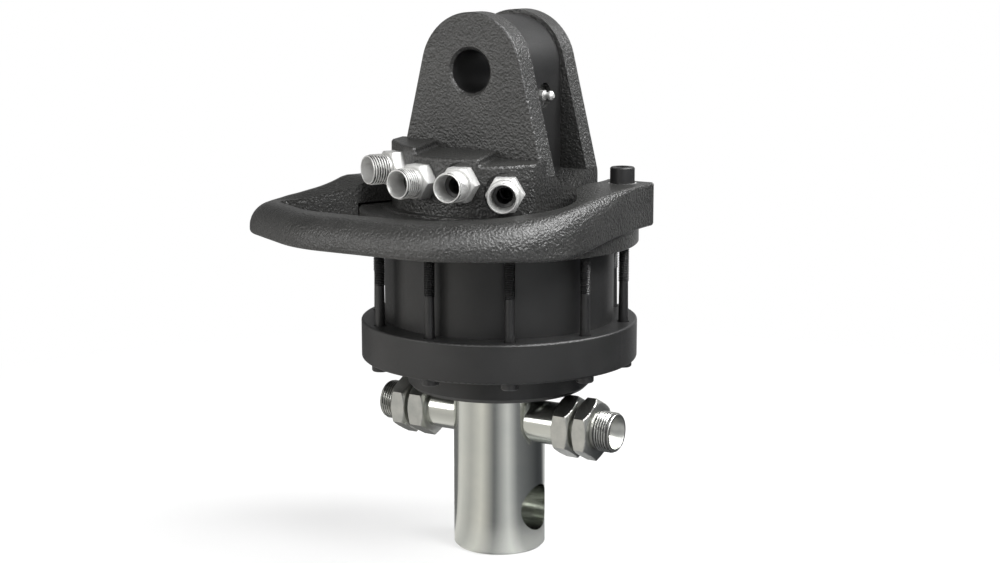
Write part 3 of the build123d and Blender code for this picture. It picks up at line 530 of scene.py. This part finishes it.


# Painted shade on the adapter: the bore below the shade height and the thread's valleys
def is_port_shaded(radius, height):
    in_bore = radius < PORT_CONE_RADIUS and height < PORT_SHADE_HEIGHT
    return in_bore or in_valley(radius, height, PORT_THREAD_ENDS, PORT_VALLEYS)


for number, (degrees, height) in enumerate(PORTS, start=1):
    angle = math.radians(degrees)
    direction = Vector((math.sin(angle), -math.cos(angle), 0))
    seat = Vector((0, PORT_FAN_Y, height)) + direction * port_seat(angle)
    place = placed(seat * MM, direction, UP)
    mesh = bmesh.new()
    add_skin(mesh, port_adapter_rings(), place)
    shade_deep(mesh, place, is_port_shaded)
    piece = finish_mesh(mesh, f"port_adapter_detail_{number}", bright_zinc, "housing")
    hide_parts(f"port_adapter_{number}")

# Lower fittings: a union nut on each tube and the adapter outside it, by distance from the Z axis

HOSE_Z = 99.5
HOSE_STEPS = 120
HOSE_FLATS = 41.0
HOSE_HEX_CHAMFER = 2.4
HOSE_HEX_HEIGHT = 12.5
UNION_BORE_RADIUS = 14.0
HOSE_NECK_RADIUS = 13.8
HOSE_NECK_LENGTH = 1.2
HOSE_THREAD_RADIUS = 15.0
HOSE_THREAD_DEPTH = 1.1
HOSE_THREAD_GAP = 1.4
HOSE_THREAD_RUN_OUT = 0.7
HOSE_VALLEYS = (13.5, 14.4)
HOSE_BORE_RADIUS = 8.0

# From the mouth inwards, as radius and depth: rim, sealing cone, and the step to the bore
HOSE_MOUTH = (
    (14.1, 0.4),
    (13.7, 0.0),
    (12.1, 0.0),
    (11.8, 0.3),
    (9.4, 10.0),
    (9.2, 10.2),
    (HOSE_BORE_RADIUS, 10.4),
)

union_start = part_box("union_nut_right")[0].x / MM
union_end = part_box("union_nut_right")[1].x / MM
adapter_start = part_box("hose_adapter_right")[0].x / MM
adapter_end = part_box("hose_adapter_right")[1].x / MM
hex_end = adapter_start + HOSE_HEX_HEIGHT
hose_thread_ends = (hex_end + HOSE_THREAD_GAP, adapter_end - HOSE_THREAD_RUN_OUT)


def union_nut_rings():
    bore = ((UNION_BORE_RADIUS, union_end), (UNION_BORE_RADIUS, union_start))
    rings = hex_body(HOSE_STEPS, HOSE_FLATS, union_start, union_end, HOSE_HEX_CHAMFER)
    return rings + lathe(HOSE_STEPS, bore)


def hose_adapter_rings():
    """Rings along the outside of an adapter, from its hexagon to its mouth, and back inside."""
    neck = ((HOSE_NECK_RADIUS, hex_end), (HOSE_NECK_RADIUS, hex_end + HOSE_NECK_LENGTH))
    rings = hex_body(HOSE_STEPS, HOSE_FLATS, adapter_start, hex_end, HOSE_HEX_CHAMFER)
    rings += lathe(HOSE_STEPS, neck)
    rings += thread_rings(HOSE_STEPS, *hose_thread_ends, HOSE_THREAD_RADIUS, HOSE_THREAD_DEPTH)
    rings += lathe(HOSE_STEPS, from_mouth(adapter_end, HOSE_MOUTH))
    rings += lathe(HOSE_STEPS, [(HOSE_BORE_RADIUS, adapter_start)])
    return rings


# Painted shade on the hose adapter: the thread's valleys
def is_hose_shaded(radius, height):
    return in_valley(radius, height, hose_thread_ends, HOSE_VALLEYS)


for side, name in ((1, "right"), (-1, "left")):
    place = placed((0, 0, HOSE_Z * MM), (side, 0, 0), UP)
    mesh = bmesh.new()
    add_skin(mesh, union_nut_rings(), place)
    piece = finish_mesh(mesh, f"union_nut_detail_{name}", grey_zinc, "shaft")
    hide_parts(f"union_nut_{name}")
    mesh = bmesh.new()
    add_skin(mesh, hose_adapter_rings(), place)
    shade_deep(mesh, place, is_hose_shaded)
    piece = finish_mesh(mesh, f"hose_adapter_detail_{name}", grey_zinc, "shaft")
    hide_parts(f"hose_adapter_{name}")

# Bolts and screws: the head's seat is at height 0, the head lies below it and the shank above

KNURL_DEPTH = 0.13
KNURL_START = 0.8
KNURL_STOP = 1.1
SOCKET_TIP_DEPTH = 0.8
SOCKET_TIP_RADIUS = 0.2
SHANK_STEPS = 32
SHANK_SEAM_SHARE = 0.98
SHANK_ROOT_SHARE = 0.6
SHANK_ROOT_DEPTH = 0.5
SHANK_TIP_SHARE = 0.75
SHANK_TIP_LENGTH = 0.6
SCREW_THREAD_DEPTH_SHARE = 0.6
SCREW_SMOOTH_ANGLE = 40

# Broken edges of a head, as inset from its radius and distance from its seat or its top
HEAD_FOOT = ((0.3, 0.0), (0.05, 0.3))
HEAD_TOP = ((0.1, 0.7), (0.8, 0.0))


def knurled(count, radius, height):
    """A ring whose every other point lies in a groove of the knurl."""
    return [(radius - (KNURL_DEPTH if i % 2 else 0.0), height) for i in range(count)]


def screw_head_rings(radius, height, shank_radius, teeth):
    """A knurled head and its hexagon socket, which is half as wide and half as deep as the head."""
    count = teeth * 2
    top = -height
    socket_flats = radius
    socket_floor = -height / 2
    rings = lathe(count, [(shank_radius * SHANK_SEAM_SHARE, 0.0)])
    rings += lathe(count, [(radius - inset, -distance) for inset, distance in HEAD_FOOT])
    rings += [knurled(count, radius, -KNURL_START), knurled(count, radius, top + KNURL_STOP)]
    rings += lathe(count, [(radius - inset, top + distance) for inset, distance in HEAD_TOP])
    rings += [hex_ring(count, socket_flats, top), hex_ring(count, socket_flats, socket_floor)]
    rings += lathe(count, [(SOCKET_TIP_RADIUS, socket_floor + SOCKET_TIP_DEPTH)])
    return rings


def screw_shank_rings(radius, length, thread_length, pitch):
    """A shank that starts inside the head, with a thread at its end and a tapered tip."""
    thread_start = length - thread_length
    thread_end = length - SHANK_TIP_LENGTH
    thread_depth = SCREW_THREAD_DEPTH_SHARE * pitch
    rings = lathe(SHANK_STEPS, [(radius * SHANK_ROOT_SHARE, -SHANK_ROOT_DEPTH), (radius, 0.0)])
    rings += thread_rings(SHANK_STEPS, thread_start, thread_end, radius, thread_depth, pitch, steps=5)
    rings += lathe(SHANK_STEPS, [(radius * SHANK_TIP_SHARE, length)])
    return rings


def add_screw(mesh, place, head_radius, head_height, teeth, shank_radius, length, thread_length, pitch):
    head = screw_head_rings(head_radius, head_height, shank_radius, teeth)
    add_skin(mesh, head, place, closed=False)
    shank = screw_shank_rings(shank_radius, length, thread_length, pitch)
    add_skin(mesh, shank, place, closed=False)


BOLT_COUNT = 10
BOLT_CIRCLE = 94.0
BOLT_HEAD_HEIGHT = 8.0

bolt_low, bolt_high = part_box("housing_bolts")
bolt_seat = bolt_low.z / MM + BOLT_HEAD_HEIGHT
mesh = bmesh.new()
for step in range(BOLT_COUNT):
    angle = math.radians(-90 + 360 / BOLT_COUNT * step)
    outward = Vector((math.cos(angle), math.sin(angle), 0))
    origin = (outward * BOLT_CIRCLE + Vector((0, 0, bolt_seat))) * MM
    add_screw(mesh, placed(origin, UP, outward), head_radius=6.5, head_height=BOLT_HEAD_HEIGHT,
              teeth=48, shank_radius=4.0, length=bolt_high.z / MM - bolt_seat, thread_length=42.0,
              pitch=1.25)
piece = finish_mesh(mesh, "housing_bolts_detail", bolt_black, "housing", smooth_angle=SCREW_SMOOTH_ANGLE)
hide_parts("housing_bolts")

GUARD_SCREW_HEAD_HEIGHT = 12.0
SPOT_FACE_STEPS = 72
SPOT_FACE_SINK = 0.02
SPOT_FACE_PROFILE = ((6.6, 0.0), (6.6, 0.25), (10.7, 0.25), (10.9, 0.0))

for name in ("right", "left"):
    low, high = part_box(f"guard_screw_{name}")
    seat = high.z / MM - GUARD_SCREW_HEAD_HEIGHT
    centre = (low + high) / 2
    place = placed((centre.x, centre.y, seat * MM), (0, 0, -1), (1, 0, 0))
    mesh = bmesh.new()
    add_screw(mesh, place, head_radius=9.0, head_height=GUARD_SCREW_HEAD_HEIGHT, teeth=60,
              shank_radius=6.0, length=seat - low.z / MM, thread_length=24.0, pitch=1.75)
    piece = finish_mesh(mesh, f"guard_screw_detail_{name}", bolt_black, "housing",
                        smooth_angle=SCREW_SMOOTH_ANGLE)
    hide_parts(f"guard_screw_{name}")
    mesh = bmesh.new()
    place = placed((centre.x, centre.y, (seat - SPOT_FACE_SINK) * MM), UP, (1, 0, 0))
    add_skin(mesh, lathe(SPOT_FACE_STEPS, SPOT_FACE_PROFILE), place)
    piece = finish_mesh(mesh, f"spot_face_{name}", bright_zinc, "housing")

# Floor: it glows to the camera, and polished steel sees the cloths in it, a little less at its foot

FLOOR_REACH = 12.0
FLOOR_DROP = 0.0002


def floor_material():
    s = Shader("pale_floor", Base_Color=(0.86, 0.86, 0.86, 1.0), Roughness=0.7, Specular_IOR_Level=0.2)
    glow = s.add("ShaderNodeEmission")
    glow.inputs["Color"].default_value = WHITE
    path = s.add("ShaderNodeLightPath")
    from_middle = s.add("ShaderNodeVectorMath", operation="LENGTH")
    s.link(s.object_place, from_middle.inputs[0])
    distance = from_middle.outputs["Value"]
    glowing = s.remap(distance, low=0.60, high=1.0, start=0.10, end=0.8)
    seen = s.blend(s.math("MULTIPLY", path.outputs["Is Camera Ray"], glowing),
                   s.surface.outputs["BSDF"], glow.outputs["Emission"])
    cloths = s.add("ShaderNodeEmission")
    s.link(s.cloths(s.object_place), cloths.inputs["Color"])
    cloths.inputs["Strength"].default_value = 0.9
    clear = s.remap(distance, low=0.70, high=1.0, start=0.05, end=0.11)
    mirrored = s.blend(s.math("MULTIPLY", path.outputs["Is Glossy Ray"], clear),
                       seen, cloths.outputs["Emission"])
    s.link(mirrored, s.tree.nodes["Material Output"].inputs["Surface"])
    return s.material


floor_mesh = bpy.data.meshes.new("floor")
corners = [(x * FLOOR_REACH, y * FLOOR_REACH, 0) for x, y in ((-1, -1), (1, -1), (1, 1), (-1, 1))]
floor_mesh.from_pydata(corners, [], [(0, 1, 2, 3)])
floor_mesh.materials.append(floor_material())
floor = bpy.data.objects.new("floor", floor_mesh)
bpy.context.scene.collection.objects.link(floor)
floor.location.z = -FLOOR_DROP
floor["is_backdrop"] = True

# World: white to the camera, and to all else the ring of cloths, dimmer towards the zenith

world = bpy.data.worlds.new("studio")
bpy.context.scene.world = world
world.use_nodes = True
sky = Nodes(world.node_tree)
place = sky.add("ShaderNodeTexCoord").outputs["Generated"]
height = sky.add("ShaderNodeSeparateXYZ")
sky.link(place, height.inputs["Vector"])
background = sky.tree.nodes["Background"]
sky.link(sky.cloths(place), background.inputs["Color"])
dimmed = sky.remap(height.outputs["Z"], low=1.0, high=0.35, start=0.25, end=0.75)
sky.link(dimmed, background.inputs["Strength"])
white = sky.add("ShaderNodeBackground")
white.inputs["Color"].default_value = WHITE
white.inputs["Strength"].default_value = 1.0
path = sky.add("ShaderNodeLightPath")
both = sky.blend(path.outputs["Is Camera Ray"], background.outputs["Background"],
                 white.outputs["Background"])
sky.link(both, sky.tree.nodes["World Output"].inputs["Surface"])

# Lamps: name, place, side length in metres and power in watts

LAMPS = (
    ("key", (1.55, -0.42, 1.6), 0.8, 40.0),
    ("side", (1.35, 0.85, 1.65), 0.8, 46.0),
    ("left", (-1.15, -1.75, 0.7), 0.7, 10.0),
    ("front", (0.2, -1.9, 1.8), 0.9, 26.0),
    ("top", (0.6, 0.15, 1.9), 0.9, 22.0),
)
LAMP_TARGET = Vector((0.0, 0.0, 0.22))

for name, place, size, power in LAMPS:
    data = bpy.data.lights.new(name, "AREA")
    data.size = size
    data.energy = power
    lamp = bpy.data.objects.new(name, data)
    lamp.location = place
    lamp.rotation_mode = "QUATERNION"
    lamp.rotation_quaternion = (LAMP_TARGET - Vector(place)).to_track_quat("-Z", "Y")
    bpy.context.scene.collection.objects.link(lamp)

# Camera: angles in degrees, distance from the Z axis and height in metres, lens in millimetres

CAMERA_AZIMUTH = 31.54
CAMERA_PITCH = 10.50
CAMERA_ROLL = -0.064
CAMERA_YAW_OFFSET = -0.024
CAMERA_DISTANCE = 1.37508
CAMERA_HEIGHT = 0.4571
CAMERA_LENS = 67.42
CAMERA_SENSOR = 36.0

azimuth = math.radians(CAMERA_AZIMUTH)
pitch = math.radians(CAMERA_PITCH)
roll = math.radians(CAMERA_ROLL)
yaw = azimuth + math.radians(CAMERA_YAW_OFFSET)
forward = Vector((-math.sin(yaw) * math.cos(pitch), math.cos(yaw) * math.cos(pitch), -math.sin(pitch)))
level_right = Vector((math.cos(yaw), math.sin(yaw), 0.0))
level_up = level_right.cross(forward)
right = math.cos(roll) * level_right + math.sin(roll) * level_up
up = math.cos(roll) * level_up - math.sin(roll) * level_right
view = Matrix((right, up, -forward)).transposed().to_4x4()
view.translation = Vector(
    (CAMERA_DISTANCE * math.sin(azimuth), -CAMERA_DISTANCE * math.cos(azimuth), CAMERA_HEIGHT)
)
camera_data = bpy.data.cameras.new("camera")
camera_data.sensor_width = CAMERA_SENSOR
camera_data.lens = CAMERA_LENS
camera_data.clip_start = 0.05
camera_data.clip_end = 60.0
camera = bpy.data.objects.new("camera", camera_data)
camera.matrix_world = view
bpy.context.scene.collection.objects.link(camera)
bpy.context.scene.camera = camera
bpy.context.scene.view_settings.view_transform = "Standard"

low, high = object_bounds()
